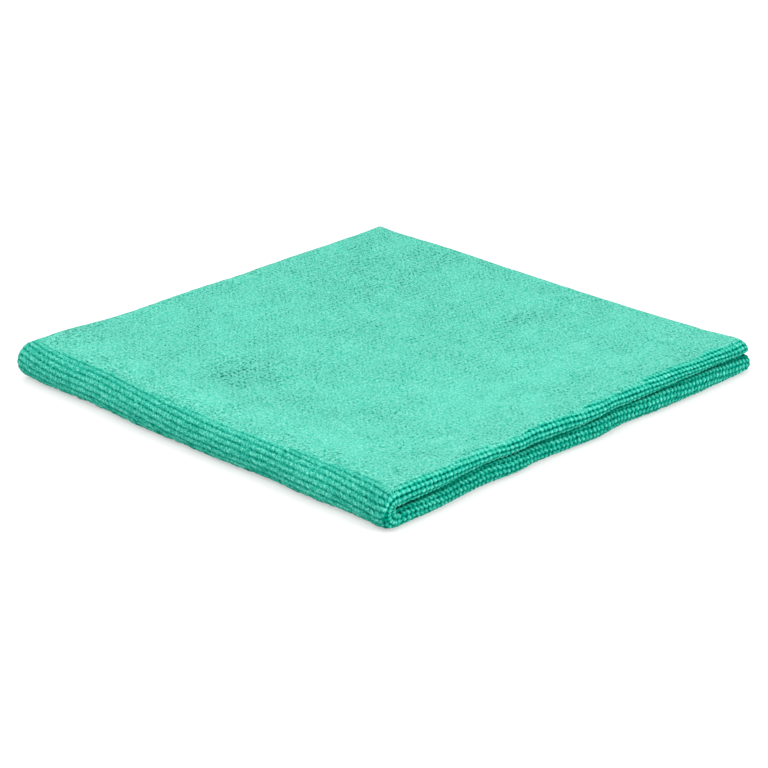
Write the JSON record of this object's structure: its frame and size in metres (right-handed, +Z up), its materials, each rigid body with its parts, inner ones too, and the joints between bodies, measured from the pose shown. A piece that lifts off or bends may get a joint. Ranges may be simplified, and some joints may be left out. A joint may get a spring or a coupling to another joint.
{
  "type": "microfibre cloth folded in quarters",
  "caption": "Square knitted microfibre cleaning cloth, folded over once and then once more into a flat four-layer pad.",
  "frame": {"origin": "middle of the folded cloth's footprint, on the surface that it lies on", "axes": "+Z up through the stack of layers; the -Y side is the first fold, with two rolled edges one above the other; the -X side is the second fold, one roll round all four layers; the cloth's edges meet at the +X and +Y sides"},
  "size_m": [0.206, 0.1987, 0.015],
  "materials": {
    "microfibre": "matt short-pile weft knit, mint green"
  },
  "bodies": {
    "root": {"cloth": "microfibre"}
  },
  "joints": []
}
